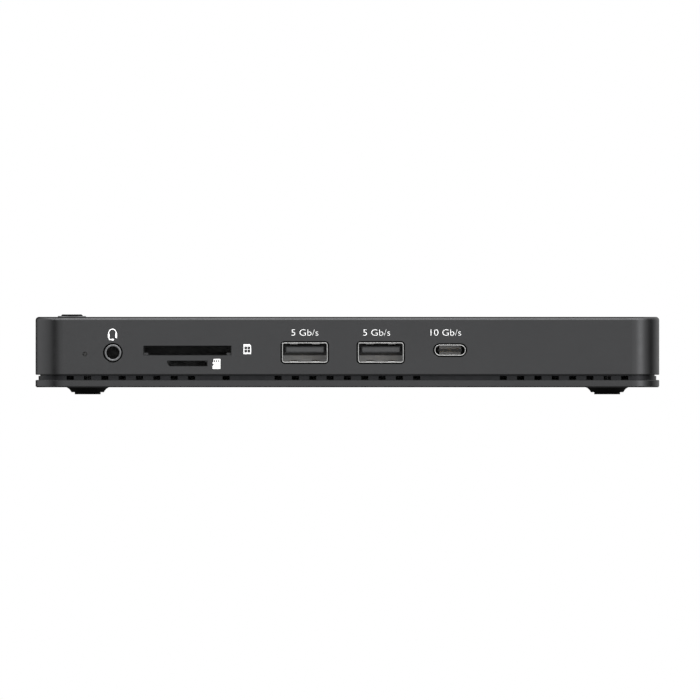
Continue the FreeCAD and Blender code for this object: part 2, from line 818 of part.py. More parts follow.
def foot(label, x, y):
    """A rubber foot: a flared neck on the plate, and a smaller pad that stands on the table."""
    rubber = new_body(label)
    drawn = sketch(rubber, "XZ_Plane")
    pad_radius, pad_height = "dims.foot_pad_radius", "dims.foot_pad_height"
    low_middle = Vector(0, 0, 0)
    pad_low = Vector(sheet.foot_pad_radius, 0, 0)
    pad_high = Vector(sheet.foot_pad_radius, sheet.foot_pad_height, 0)
    neck = Vector(sheet.foot_neck_radius, sheet.foot_pad_height, 0)
    flare = Vector(sheet.foot_flare_radius, sheet.foot_height, 0)
    high_middle = Vector(0, sheet.foot_height, 0)
    # The flare's arc runs anticlockwise from the plate (its end 1) down to the neck (its end 2).
    chord = flare - neck
    half_chord = chord.Length / 2
    rise = math.sqrt(sheet.foot_flare_curve**2 - half_chord**2)
    centre = neck + chord / 2 + Vector(chord.y, -chord.x, 0).normalize() * rise
    angles = [math.atan2(end.y - centre.y, end.x - centre.x) for end in (flare, neck)]
    whole = Part.Circle(centre, Vector(0, 0, 1), sheet.foot_flare_curve)
    outline = [
        Part.LineSegment(low_middle, pad_low),
        Part.LineSegment(pad_low, pad_high),
        Part.LineSegment(pad_high, neck),
        Part.ArcOfCircle(whole, *angles),
        Part.LineSegment(flare, high_middle),
        Part.LineSegment(high_middle, low_middle),
    ]
    drawn.addGeometry(outline, False)
    joints = [(0, 2, 1, 1), (1, 2, 2, 1), (2, 2, 3, 2), (3, 1, 4, 1), (4, 2, 5, 1), (5, 2, 0, 1)]
    for joint in joints:
        drawn.addConstraint(Sketcher.Constraint("Coincident", *joint))
    pin_point(drawn, "low_middle", 0, 1, "0", "0")
    pin_point(drawn, "pad_low", 1, 1, pad_radius, "0")
    pin_point(drawn, "pad_high", 2, 1, pad_radius, pad_height)
    pin_point(drawn, "neck", 3, 2, "dims.foot_neck_radius", pad_height)
    pin_point(drawn, "flare", 3, 1, "dims.foot_flare_radius", "dims.foot_height")
    pin_point(drawn, "high_middle", 5, 1, "0", "dims.foot_height")
    curve = Sketcher.Constraint("Radius", 3, sheet.foot_flare_curve)
    dimension(drawn, "curve", curve, "dims.foot_flare_curve")
    revolve(rubber, drawn)
    place(rubber, x, y)
    return keep(rubber, label)


def screws(label, head_radius, head, shank_radius, shank, centres):
    """Alike screws as one group: a round head and a shank, each between two heights."""
    pieces = []
    for x, y in centres:
        top = cylinder(label + "_head", head_radius, head, (x, y))
        stem = cylinder(label + "_shank", shank_radius, shank, (x, y))
        pieces.append(combine("MultiFuse", label + "_screw", [top, stem]))
    return keep(combine("Compound", label, pieces), label)


# ---------------------------------------------------------------- circuit board


def notch(board, x, side, width, depth):
    """An open-ended cut in the board's edge, for a socket that sits partly in the board."""
    sign = "-" if side == "front" else ""
    reach = f"({depth} + dims.port_gap)"
    middle = f"{sign}({HALF_DEPTH} - {reach} / 2)"
    drawn = sketch(board, "XY_Plane", x, middle, BOARD_TOP)
    rectangle(drawn, f"{width} + 2 * dims.port_gap", reach)
    pocket(board, drawn, "dims.board_thickness")


def main_board():
    board = new_body("main_board")
    drawn = sketch(board, "XY_Plane", out=BOARD_BOTTOM)
    rounded_rectangle(
        drawn,
        f"dims.case_width - 2 * {BOARD_INSET}",
        f"dims.case_depth - 2 * {BOARD_INSET}",
        "dims.board_corner",
    )
    pad(board, drawn, "dims.board_thickness")
    boss_holes = circles(
        sketch(board, "XY_Plane", out=BOARD_TOP), "dims.boss_radius + dims.port_gap", CORNERS
    )
    pocket(board, boss_holes, "dims.board_thickness")
    screw_holes = circles(
        sketch(board, "XY_Plane", out=BOARD_TOP),
        "dims.board_screw_radius + 2 * dims.screw_gap",
        POSTS,
    )
    pocket(board, screw_holes, "dims.board_thickness")
    for x, side in USB_A_PORTS.values():
        notch(board, x, side, "dims.usb_a_width", "dims.usb_a_depth")
    notch(board, JACK_X, "front", "dims.jack_body_width", "dims.jack_body_depth")
    notch(board, "dims.ethernet_place", "rear", "dims.ethernet_width", "dims.ethernet_depth")
    return keep(board, "main_board")


def chip(label, x, y, size):
    made = centred_block(
        label, (x, y), (size, size), (BOARD_TOP, f"{BOARD_TOP} + dims.chip_height")
    )
    return keep(made, label)


def cooling():
    """Chips under one finned spreader, a soft pad between each and it, and the loose ones."""
    chip("hub_chip", "dims.hub_chip_place", "0", "dims.hub_chip_size")
    chip("video_chip", "dims.video_chip_place", "0", "dims.video_chip_size")
    beside_socket = f"({HALF_DEPTH} - dims.ethernet_depth - 3 * dims.ethernet_chip_size / 4)"
    past_post = "dims.post_rear_right + dims.ethernet_chip_size"
    chip("ethernet_chip", past_post, beside_socket, "dims.ethernet_chip_size")
    chip("power_chip", "-dims.usb_c_power_place", "dims.chip_row", "dims.power_chip_size")
    chip_top = f"({BOARD_TOP} + dims.chip_height)"
    pad_top = f"({chip_top} + dims.pad_height)"
    pads = [
        centred_block("thermal_pad", (x, "0"), (size, size), (chip_top, pad_top))
        for x, size in (
            ("dims.hub_chip_place", "dims.hub_chip_size"),
            ("dims.video_chip_place", "dims.video_chip_size"),
        )
    ]
    keep(combine("Compound", "thermal_pads", pads), "thermal_pads")

    spreader = new_body("heat_spreader")
    drawn = sketch(spreader, "XY_Plane", "dims.spreader_centre", "0", pad_top)
    rectangle(drawn, "dims.spreader_width", "dims.spreader_depth")
    pad(spreader, drawn, "dims.spreader_plate + dims.spreader_fin_height")
    fin_top = f"({pad_top} + dims.spreader_plate + dims.spreader_fin_height)"
    first_gap = "(dims.spreader_centre - 7 * dims.spreader_fin_pitch)"
    channel = sketch(spreader, "XY_Plane", first_gap, "0", fin_top)
    rectangle(channel, "dims.spreader_fin_gap", "dims.spreader_depth + 2 * dims.cut_margin")
    groove = pocket(spreader, channel, "dims.spreader_fin_height")
    repeat(spreader, groove, "X_Axis", "14 * dims.spreader_fin_pitch", 15)
    keep(spreader, "heat_spreader")


def power_parts():
    """Inductors and tall round capacitors between the power input and the chips."""
    inductor_top = f"{BOARD_TOP} + dims.inductor_height"
    inductors = []
    for column in range(4):
        x = f"{column} * dims.inductor_pitch - dims.usb_c_power_place"
        size = ("dims.inductor_size", "dims.inductor_size")
        inductors.append(centred_block("inductor", (x, "0"), size, (BOARD_TOP, inductor_top)))
    keep(combine("Compound", "power_inductors", inductors), "power_inductors")
    capacitor_top = f"{BOARD_TOP} + dims.capacitor_height"
    cans = []
    for column in range(3):
        x = f"{column} * dims.capacitor_pitch - dims.usb_c_host_place"
        span = (BOARD_TOP, capacitor_top)
        cans.append(cylinder("can", "dims.capacitor_radius", span, (x, "dims.chip_row")))
    keep(combine("Compound", "capacitors", cans), "capacitors")


# ---------------------------------------------------------------- power button and status light


def power_button():
    flange_top = f"({CEILING} - dims.part_gap)"
    flange_low = f"({flange_top} - dims.cap_flange_height)"
    cap_top = f"({CASE_TOP} + dims.button_rise)"
    switch_top = f"({BOARD_TOP} + dims.switch_height)"
    plunger_top = f"({switch_top} + dims.plunger_rise)"

    ring = new_body("power_button_ring")
    polygon(
        sketch(ring, "XZ_Plane"),
        [
            (RING_BORE, CEILING),
            (RING_OUTER, CEILING),
            (RING_OUTER, CASE_TOP),
            ("dims.ring_flange_radius", CASE_TOP),
            ("dims.ring_flange_radius - dims.ring_rise", f"{CASE_TOP} + dims.ring_rise"),
            (RING_BORE, f"{CASE_TOP} + dims.ring_rise"),
        ],
    )
    revolve(ring, ring.Group[-1])
    keep(place(ring, BUTTON_X, BUTTON_Y), "power_button_ring")

    cap = new_body("power_button_cap")
    polygon(
        sketch(cap, "XZ_Plane"),
        [
            ("0", plunger_top),
            ("dims.cap_stem_radius", plunger_top),
            ("dims.cap_stem_radius", flange_low),
            ("dims.cap_flange_radius", flange_low),
            ("dims.cap_flange_radius", flange_top),
            ("dims.button_radius", flange_top),
            ("dims.button_radius", f"{cap_top} - dims.button_bevel"),
            ("dims.button_radius - dims.button_bevel", cap_top),
            ("0", cap_top),
        ],
    )
    revolve(cap, cap.Group[-1])
    keep(place(cap, BUTTON_X, BUTTON_Y), "power_button_cap")

    switch = new_body("power_switch_body")
    rectangle(sketch(switch, "XY_Plane", out=BOARD_TOP), "dims.switch_size", "dims.switch_size")
    pad(switch, switch.Group[-1], "dims.switch_height")
    bore = circles(
        sketch(switch, "XY_Plane", out=switch_top), "dims.plunger_radius + dims.screw_gap"
    )
    pocket(switch, bore, "dims.switch_height - dims.switch_floor")
    keep(place(switch, BUTTON_X, BUTTON_Y), "power_switch_body")

    plunger_low = f"{BOARD_TOP} + dims.switch_floor + dims.button_travel + dims.part_gap"
    plunger = cylinder(
        "plunger", "dims.plunger_radius", (plunger_low, plunger_top), (BUTTON_X, BUTTON_Y)
    )
    keep(plunger, "power_switch_plunger")


def status_light():
    """A side-firing light on the board, and the clear pipe from it to the front face."""
    pipe = new_body("led_light_pipe")
    # The body's own Z axis is the pipe's axis; the pipe starts flush with the front face.
    collar_start = "dims.case_wall"
    collar_end = "(dims.case_wall + dims.light_collar_length)"
    polygon(
        sketch(pipe, "XZ_Plane"),
        [
            ("0", "0"),
            ("dims.light_pipe_radius", "0"),
            ("dims.light_pipe_radius", collar_start),
            ("dims.light_collar_radius", collar_start),
            ("dims.light_collar_radius", collar_end),
            ("dims.light_pipe_radius", collar_end),
            ("dims.light_pipe_radius", "dims.light_pipe_length"),
            ("0", "dims.light_pipe_length"),
        ],
    )
    revolve(pipe, pipe.Group[-1])
    turn(pipe, (1, 0, 0), -90)
    keep(place(pipe, LIGHT_X, f"-{HALF_DEPTH}", LIGHT_Z), "led_light_pipe")

    led_front = f"(dims.light_pipe_length + dims.part_gap - {HALF_DEPTH})"
    led = block(
        "led",
        (f"{LIGHT_X} - dims.led_width / 2", f"{LIGHT_X} + dims.led_width / 2"),
        (led_front, f"{led_front} + dims.led_depth"),
        (BOARD_TOP, f"{BOARD_TOP} + dims.led_height"),
    )
    keep(led, "status_led")


# ---------------------------------------------------------------- sockets


def headset_jack():
    """A bored plastic body with a metal sleeve for its nose and three spring contacts."""
    body = new_body("audio_jack_body")
    face = "dims.jack_sleeve_length"
    rectangle(
        sketch(body, "XZ_Plane", out=f"-{face}"), "dims.jack_body_width", "dims.jack_body_height"
    )
    pad(body, body.Group[-1], f"dims.jack_body_depth - {face}", reverse=True)
    bore = circles(sketch(body, "XZ_Plane", out=f"-{face}"), "dims.jack_bore_radius")
    pocket(body, bore, f"dims.jack_bore_depth - {face}")
    # Slots in the side wall take the springs.
    slot_length = "dims.jack_bore_depth / 8"
    spots = [f"{face} + {share} * dims.jack_bore_depth" for share in (0.15, 0.4, 0.65)]
    for spot in spots:
        across = "-(dims.jack_body_width / 2)"
        drawn = sketch(body, "YZ_Plane", spot, "0", across)
        rectangle(drawn, slot_length, "dims.jack_slot_height")
        pocket(body, drawn, "dims.jack_body_width / 2 - dims.jack_bore_radius / 2", reverse=True)
    keep(set_in(body, JACK_X, "front", JACK_Z), "audio_jack_body")

    sleeve = new_body("audio_jack_sleeve")
    ring = sketch(sleeve, "XZ_Plane")
    circles(ring, "dims.jack_sleeve_radius")
    pad(sleeve, ring, face, reverse=True)
    hole = circles(sketch(sleeve, "XZ_Plane"), "dims.jack_bore_radius")
    pocket(sleeve, hole, face)
    dress(sleeve, "Fillet", "dims.jack_sleeve_lip", lambda edge: lies_at(edge, "y", 0))
    keep(set_in(sleeve, JACK_X, "front", JACK_Z), "audio_jack_sleeve")

    outer = f"({JACK_X} - dims.jack_body_width / 2)"
    springs = []
    for spot in spots:
        middle = f"(dims.port_setback - {HALF_DEPTH} + {spot})"
        half = f"({slot_length} / 2 - dims.screw_gap)"
        leaf = block(
            "jack_spring",
            (outer, f"{outer} + dims.jack_spring_thickness"),
            (f"{middle} - {half}", f"{middle} + {half}"),
            (
                f"{JACK_Z} - dims.jack_slot_height / 2 + dims.screw_gap",
                f"{JACK_Z} + dims.jack_slot_height / 2 - dims.screw_gap",
            ),
        )
        springs.append(leaf)
    keep(combine("Compound", "audio_jack_springs", springs), "audio_jack_springs")


def card_socket(name, height, upside_down):
    """A push-push card socket: a plastic tray, a metal cover, a sliding catch and its spring.

    The tray stands on the board, or hangs under it upside down.
    """
    d = "dims." + name + "_"
    half, high = f"({d}width / 2 - dims.part_gap)", f"({d}height / 2)"
    floor_low = f"(-{d}axis)"
    left = f"(-{half} - {d}side_wall)"
    channel = f"({half} + {d}channel)"
    right = f"({channel} + {d}side_wall / 2)"
    front = "(dims.case_wall - dims.port_setback + dims.part_gap)"
    back = f"({d}depth - {d}end_wall)"
    overcut = "dims.cut_margin"

    whole_depth = (front, f"{d}depth")
    inside = (f"-{high}", f"{high} + {overcut}")
    outer = block(name, (left, right), whole_depth, (floor_low, high))
    hollow = block(name, (f"-{half}", half), (f"{front} - {overcut}", back), inside)
    slide_way = block(name, (half, channel), (f"{d}side_wall + {front}", back), inside)
    tray = cut(name, outer, combine("MultiFuse", name, [hollow, slide_way]))
    rail_depth = (front, f"({d}stop_start - {d}travel)")
    rail_top = f"({d}rail_height - {high})"
    rail_spans = [(f"-{half}", f"{d}rail_width - {half}"), (f"{half} - {d}rail_width", half)]
    rails = [block(name, span, rail_depth, (f"-{high}", rail_top)) for span in rail_spans]
    base = combine("MultiFuse", name + "_base", [tray] + rails)

    left_edge, right_edge = f"{left} - {d}cover", f"{right} + {d}cover"
    skirt = (f"(-{high} / 2)", high)
    lid = block(name, (left_edge, right_edge), whole_depth, (high, f"{high} + {d}cover"))
    left_skirt = block(name, (left_edge, left), whole_depth, skirt)
    right_skirt = block(name, (right, right_edge), whole_depth, skirt)
    cover = combine("MultiFuse", name + "_cover", [lid, left_skirt, right_skirt])

    gap = "dims.slider_gap"
    stop_end = f"({d}stop_start + {d}stop_depth)"
    bar = block(
        name,
        (f"{half} + {gap}", f"{channel} - {gap}"),
        (f"{stop_end} - {d}bar_length", stop_end),
        (f"{gap} - {high}", f"{high} - {gap}"),
    )
    arm = block(
        name,
        (f"{half} / 2", f"{half} + 2 * {gap}"),
        (f"{d}stop_start", stop_end),
        (f"{rail_top} + {gap}", f"{high} - {gap}"),
    )
    slider = combine("MultiFuse", name + "_slider", [bar, arm])

    coil_radius = f"({d}channel - 2 * {gap}) / 2 - dims.spring_wire_radius"
    spine = doc.addObject("Part::Helix", name + "_spine")
    spring_room = f"{back} - {stop_end} - 4 * dims.spring_wire_radius"
    bind(spine, Radius=coil_radius, Pitch="dims.spring_pitch", Height=spring_room)
    wire = doc.addObject("Part::Circle", name + "_wire")
    turn(wire, (1, 0, 0), 90)
    bind(wire, Radius="dims.spring_wire_radius", Placement__Base__x=coil_radius)
    coil = doc.addObject("Part::Sweep", name + "_spring")
    coil.Sections = [wire]
    coil.Spine = (spine, ["Edge1"])
    coil.Solid = True
    coil.Frenet = True

    middle = f"(({half} + {channel}) / 2)"
    spring_start = f"({stop_end} + 2 * dims.spring_wire_radius)"
    label = "microsd_socket" if upside_down else "sd_socket"
    for made, part in ((base, "base"), (cover, "cover"), (slider, "slider")):
        if upside_down:
            turn(made, (0, 1, 0), 180)
        keep(set_in(made, CARD_X, "front", height), f"{label}_{part}")
    turn(coil, (1, 0, 0), -90)
    sign = "-" if upside_down else "+"
    place(
        coil,
        f"{CARD_X} {sign} {middle}",
        f"dims.port_setback - {HALF_DEPTH} + {spring_start}",
        height,
    )
    keep(coil, f"{label}_spring")


def metal_shell(name, x, side, z, draw, depth):
    """A socket's thin shell, open at both ends, its mouth's inner edge rounded.

    draw(sketch, grow) outlines it.
    """
    shell = new_body(name + "_shell")
    outer = sketch(shell, "XZ_Plane")
    draw(outer, "0")
    pad(shell, outer, depth, reverse=True)
    inner = sketch(shell, "XZ_Plane")
    draw(inner, "-dims.shell_thickness")
    pocket(shell, inner, depth)
    dress(shell, "Fillet", "dims.shell_lip", inner_rim(shell))
    return keep(set_in(shell, x, side, z), name + "_shell")


def tongue(name, x, side, z, draw, depths, block_size, rise):
    """A socket's plastic insert: a block that fills the shell's back, and its tongue."""
    insert = new_body(name + "_tongue")
    throat, depth, start = depths
    back = sketch(insert, "XZ_Plane", out=f"-{throat}")
    draw(back, "-dims.shell_thickness")
    pad(insert, back, f"{depth} - {throat}", reverse=True)
    blade = sketch(insert, "XZ_Plane", "0", rise, f"-{start}")
    rectangle(blade, block_size[0], block_size[1])
    pad(insert, blade, f"{throat} - {start}", reverse=True)
    return insert


def usb_a_port(name, x, side):
    def draw(drawn, grow):
        rounded_rectangle(
            drawn,
            f"dims.usb_a_width + 2 * ({grow})",
            f"dims.usb_a_height + 2 * ({grow})",
            f"dims.usb_a_corner + ({grow})",
        )

    metal_shell(name, x, side, USB_A_Z, draw, "dims.usb_a_depth")
    insert = tongue(
        name,
        x,
        side,
        USB_A_Z,
        draw,
        ("dims.usb_a_throat", "dims.usb_a_depth", "dims.usb_a_tongue_start"),
        ("dims.usb_a_tongue_width", "dims.usb_a_tongue_thickness"),
        "dims.usb_a_tongue_rise",
    )
    tip = sheet.usb_a_tongue_start
    dress(insert, "Chamfer", "dims.usb_a_tongue_bevel", lambda edge: lies_at(edge, "y", tip))
    grooves = sketch(insert, "XY_Plane", out=USB_A_UNDERSIDE)
    length = f"(dims.usb_a_throat - {USB_A_CONTACT_START})"
    for offset in USB_A_CONTACTS:
        middle = f"({USB_A_CONTACT_START} + {length} / 2)"
        rectangle(grooves, "dims.usb_a_contact_width", length, offset, middle)
    pocket(insert, grooves, "dims.usb_a_contact_thickness", reverse=True)
    keep(set_in(insert, x, side, USB_A_Z), name + "_tongue")


def usb_a_contacts(side):
    """Four flat contacts in the grooves under the tongue of each USB-A socket on one side."""
    under = f"({USB_A_Z} + {USB_A_UNDERSIDE})"
    near = f"({HALF_DEPTH} - dims.port_setback - {USB_A_CONTACT_START})"
    far = f"({HALF_DEPTH} - dims.port_setback - dims.usb_a_throat)"
    ends = (f"-{near}", f"-{far}") if side == "front" else (far, near)
    half = "dims.usb_a_contact_width / 2"
    strips = []
    for x, port_side in USB_A_PORTS.values():
        if port_side != side:
            continue
        for offset in USB_A_CONTACTS:
            across = (f"{x} + {offset} - {half}", f"{x} + {offset} + {half}")
            up = (under, f"{under} + dims.usb_a_contact_thickness")
            strips.append(block("contact", across, ends, up))
    keep(combine("Compound", side + "_usb_a_contacts", strips), side + "_usb_a_contacts")


def usb_c_port(name, x, side):
    def draw(drawn, grow):
        rounded_rectangle(
            drawn,
            f"dims.usb_c_width + 2 * ({grow})",
            f"dims.usb_c_height + 2 * ({grow})",
            f"dims.usb_c_height / 2 + ({grow}) - dims.screw_gap",
        )

    metal_shell(name, x, side, USB_C_Z, draw, "dims.usb_c_depth")
    insert = tongue(
        name,
        x,
        side,
        USB_C_Z,
        draw,
        ("dims.usb_c_throat", "dims.usb_c_depth", "dims.usb_c_tongue_start"),
        ("dims.usb_c_tongue_width", "dims.usb_c_tongue_thickness"),
        "0",
    )
    keep(set_in(insert, x, side, USB_C_Z), name + "_tongue")


def video_port(name, z, cut_right):
    """A display socket on the rear, its own lower left corner cut, or both lower corners."""
    x = f"-dims.{name}_place"

    def draw(drawn, grow):
        bevelled_outline(drawn, name, grow, True, cut_right)

    metal_shell(name, x, "rear", z, draw, "dims.video_depth")
    insert = tongue(
        name,
        x,
        "rear",
        z,
        draw,
        ("dims.video_throat", "dims.video_depth", "dims.video_tongue_start"),
        (f"dims.{name}_tongue_width", f"dims.{name}_tongue_thickness"),
        "0",
    )
    keep(set_in(insert, x, "rear", z), name + "_tongue")


def ethernet_port():
    """The network socket: a plastic body with a stepped cavity, a metal shield, eight contacts."""
    x, z = "dims.ethernet_place", ETHERNET_Z
    inner_width = "(dims.ethernet_width - 2 * dims.ethernet_shield)"
    inner_height = "(dims.ethernet_height - 2 * dims.ethernet_shield)"
    body = new_body("ethernet_jack_body")
    rectangle(sketch(body, "XZ_Plane"), inner_width, inner_height)
    pad(body, body.Group[-1], "dims.ethernet_depth - dims.ethernet_shield", reverse=True)
    rise = "dims.ethernet_cavity_rise"
    cavity_low = f"({rise} - dims.ethernet_cavity_height / 2)"
    steps = [
        ("dims.ethernet_cavity_width", "dims.ethernet_cavity_height", rise),
        (
            "dims.ethernet_latch_width",
            "dims.ethernet_latch_height",
            f"{cavity_low} - dims.ethernet_latch_height / 2",
        ),
        (
            "dims.ethernet_latch_width / 2",
            "dims.ethernet_latch_height",
            f"{cavity_low} - dims.ethernet_latch_height",
        ),
    ]
    for width, height, middle in steps:
        drawn = rectangle(sketch(body, "XZ_Plane", "0", middle), width, height)
        pocket(body, drawn, "dims.ethernet_throat")
    keep(set_in(body, x, "rear", z), "ethernet_jack_body")

    shield = new_body("ethernet_jack_shield")
    rectangle(sketch(shield, "XZ_Plane"), "dims.ethernet_width", "dims.ethernet_height")
    pad(shield, shield.Group[-1], "dims.ethernet_depth", reverse=True)
    pocket(
        shield,
        rectangle(sketch(shield, "XZ_Plane"), inner_width, inner_height),
        "dims.ethernet_depth - dims.ethernet_shield",
    )
    keep(set_in(shield, x, "rear", z), "ethernet_jack_shield")

    # Each contact springs from the back wall, near the cavity's roof, down towards the mouth.
    thickness = "dims.ethernet_contact_thickness"
    root_z = f"{z} + {rise} + dims.ethernet_cavity_height / 2 - 2 * {thickness}"
    root_y = f"{HALF_DEPTH} - dims.port_setback - dims.ethernet_throat"
    contacts = []
    for index in range(8):
        left = f"{x} + {index - 3.5} * dims.ethernet_contact_pitch - {thickness} / 2"
        contact = doc.addObject("Part::Box", "contact")
        bind(contact, Length=thickness, Width="dims.ethernet_contact_length", Height=thickness)
        turn(contact, (1, 0, 0), -sheet.ethernet_contact_slope)
        contacts.append(place(contact, left, root_y, root_z))
    keep(combine("Compound", "ethernet_contacts", contacts), "ethernet_contacts")


# ---------------------------------------------------------------- the whole dock

top_housing()
vent_frame()
base_plate()
for label, (foot_x, foot_y) in zip(
    ("foot_front_left", "foot_rear_left", "foot_front_right", "foot_rear_right"), CORNERS
):
    foot(label, foot_x, foot_y)
head_top = "dims.foot_height + dims.case_screw_head_height"
screws(
    "housing_screws",
    "dims.case_screw_head_radius",
    ("dims.foot_height", head_top),
    "dims.case_screw_radius",
    (head_top, f"{head_top} + dims.case_screw_length"),
    CORNERS,
)
main_board()
screws(
    "board_screws",
    "dims.board_screw_head_radius",
    (BOARD_TOP, f"{BOARD_TOP} + dims.board_screw_head_height"),
    "dims.board_screw_radius",
    (f"{BOARD_TOP} - dims.board_screw_length", BOARD_TOP),
    POSTS,
)
power_button()
status_light()
headset_jack()
card_socket("sd", SD_Z, upside_down=False)
card_socket("microsd", MICROSD_Z, upside_down=True)
for name, (port_x, port_side) in USB_A_PORTS.items():
    usb_a_port(name, port_x, port_side)
usb_a_contacts("front")
usb_a_contacts("rear")
for name, (port_x, port_side) in USB_C_PORTS.items():
    usb_c_port(name, port_x, port_side)
video_port("displayport", DISPLAYPORT_Z, cut_right=False)
video_port("hdmi", HDMI_Z, cut_right=True)
ethernet_port()
cooling()
power_parts()

doc.recompute()
for made in doc.Objects:
    if "Invalid" in made.State or "Error" in made.State:
        raise RuntimeError(f"{made.Name} did not build: {made.State}")
os.makedirs("parts", exist_ok=True)
for node in nodes:
    if node.Shape.isNull() or not node.Shape.isValid() or not node.Shape.Solids:
        raise RuntimeError(f"{node.Label} is not a valid solid")
    node.Shape.exportStep(f"parts/{node.Label}.step")
print(len(nodes), "sub-parts written")
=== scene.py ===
"""Looks of the laptop docking station: materials, printed marks, socket detail, light and camera.

Metres, +X to the right, the front face towards -Y, +Z up.  Every place is worked out from the
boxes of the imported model's nodes.
"""

import json
import math

import bmesh
import bpy
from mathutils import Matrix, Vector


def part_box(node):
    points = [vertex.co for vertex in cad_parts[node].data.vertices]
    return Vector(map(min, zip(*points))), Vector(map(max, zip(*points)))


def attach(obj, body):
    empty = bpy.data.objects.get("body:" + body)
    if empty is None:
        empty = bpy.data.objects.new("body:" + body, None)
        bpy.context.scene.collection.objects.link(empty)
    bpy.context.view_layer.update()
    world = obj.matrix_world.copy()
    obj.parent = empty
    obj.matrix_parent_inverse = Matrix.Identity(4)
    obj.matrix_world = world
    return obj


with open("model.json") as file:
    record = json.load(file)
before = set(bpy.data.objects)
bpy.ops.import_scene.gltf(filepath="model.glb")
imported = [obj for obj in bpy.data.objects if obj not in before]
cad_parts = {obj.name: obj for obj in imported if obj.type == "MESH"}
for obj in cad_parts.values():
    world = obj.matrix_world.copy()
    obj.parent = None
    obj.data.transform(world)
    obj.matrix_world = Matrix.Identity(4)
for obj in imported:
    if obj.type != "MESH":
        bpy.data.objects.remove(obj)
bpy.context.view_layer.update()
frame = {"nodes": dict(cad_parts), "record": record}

MM = 0.001
nodes = frame["nodes"]

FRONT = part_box("top_housing")[0][1]
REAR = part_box("top_housing")[1][1]


def middle(name):
    """The centre of a node's box."""
    low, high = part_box(name)
    return [(a + b) / 2 for a, b in zip(low, high)]


# ---------------------------------------------------------------- materials


class Shader:
    """A Principled material with a few helpers for procedural detail in object space."""

    def __init__(self, name, color, roughness, metallic=0.0, **sockets):
        self.material = bpy.data.materials.new(name)
        self.material.use_nodes = True
        self.tree = self.material.node_tree
        self.surface = self.tree.nodes["Principled BSDF"]
        self.color = color
        self.roughness = roughness
        self.surface.inputs["Base Color"].default_value = (*color, 1)
        self.surface.inputs["Roughness"].default_value = roughness
        self.surface.inputs["Metallic"].default_value = metallic
        for socket, value in sockets.items():
            self.surface.inputs[socket.replace("_", " ")].default_value = value
        self.place = self.tree.nodes.new("ShaderNodeTexCoord").outputs["Object"]

    def node(self, kind, **settings):
        made = self.tree.nodes.new("ShaderNode" + kind)
        for name, value in settings.items():
            setattr(made, name, value)
        return made

    def stretched(self, x, y, z):
        """Object coordinates scaled along each axis, for grain that runs one way."""
        mapping = self.node("Mapping")
        mapping.inputs["Scale"].default_value = (x, y, z)
        self.tree.links.new(self.place, mapping.inputs["Vector"])
        return mapping.outputs["Vector"]

    def noise(self, per_metre, detail=2.0, roughness=0.5, vector=None):
        made = self.node("TexNoise")
        made.inputs["Scale"].default_value = per_metre
        made.inputs["Detail"].default_value = detail
        made.inputs["Roughness"].default_value = roughness
        self.tree.links.new(vector or self.place, made.inputs["Vector"])
        return made.outputs["Fac"]

    def spread(self, value, low, high):
        """Map the middle range of a noise to low..high."""
        made = self.node("MapRange")
        made.inputs["From Min"].default_value = 0.3
        made.inputs["From Max"].default_value = 0.7
        made.inputs["To Min"].default_value = low
        made.inputs["To Max"].default_value = high
        self.tree.links.new(value, made.inputs["Value"])
        return made.outputs["Result"]

    def vary_roughness(self, value, amount):
        result = self.spread(value, self.roughness - amount, self.roughness + amount)
        self.tree.links.new(result, self.surface.inputs["Roughness"])

    def vary_color(self, value, amount):
        """Lighten and darken the base colour by a share of itself."""
        scale = self.spread(value, 1 - amount, 1 + amount)
        mix = self.node("Mix", data_type="RGBA", blend_type="MULTIPLY")
        mix.inputs["Factor"].default_value = 1.0
        mix.inputs["A"].default_value = (*self.color, 1)
        self.tree.links.new(scale, mix.inputs["B"])
        self.tree.links.new(mix.outputs["Result"], self.surface.inputs["Base Color"])

    def bump(self, value, height):
        made = self.node("Bump")
        made.inputs["Distance"].default_value = height
        self.tree.links.new(value, made.inputs["Height"])
        self.tree.links.new(made.outputs["Normal"], self.surface.inputs["Normal"])


def anodised(name, color, roughness):
    """Bead-blasted, anodised aluminium: fine pits, and a faint cloudiness in the dye."""
    made = Shader(name, color, roughness, metallic=1.0)
    made.vary_color(made.noise(60, 3), 0.02)
    made.vary_roughness(made.noise(400, 4), 0.03)
    made.bump(made.noise(9000, 2, 0.6), 0.004 * MM)
    return made.material


def moulded(name, color, roughness, depth=0.008 * MM, **sockets):
    """Moulded plastic with a fine spark-eroded grain."""
    made = Shader(name, color, roughness, **sockets)
    made.vary_color(made.noise(150, 3), 0.06)
    made.vary_roughness(made.noise(900, 3), 0.05)
    made.bump(made.noise(5000, 3, 0.6), depth)
    return made.material


def stamped_metal(name, color, roughness):
    """Sheet metal: rolling lines along Y, small changes of gloss and tint."""
    made = Shader(name, color, roughness, metallic=1.0)
    lines = made.noise(1, 3, 0.6, made.stretched(9000, 300, 9000))
    made.vary_roughness(lines, 0.07)
    made.vary_color(made.noise(500, 2), 0.05)
    made.bump(lines, 0.001 * MM)
    return made.material


def rubber(name):
    """Matt black rubber with a coarse grain and a little dust in it."""
    made = Shader(name, (0.0025, 0.0025, 0.0025), 0.75, Specular_IOR_Level=0.08)
    made.vary_color(made.noise(700, 3), 0.3)
    made.vary_roughness(made.noise(1500, 3), 0.08)
    made.bump(made.noise(4000, 4, 0.7), 0.02 * MM)
    return made.material


def circuit_board(name):
    """Green solder mask under a thin gloss, the copper below it showing as paler squares."""
    made = Shader(name, (0.006, 0.035, 0.022), 0.32, Coat_Weight=0.4, Coat_Roughness=0.15)
    cells = made.node("TexVoronoi", feature="F1", distance="CHEBYCHEV")
    cells.inputs["Scale"].default_value = 450
    made.tree.links.new(made.place, cells.inputs["Vector"])
    made.vary_color(cells.outputs["Distance"], 0.3)
    made.bump(cells.outputs["Distance"], 0.02 * MM)
    return made.material


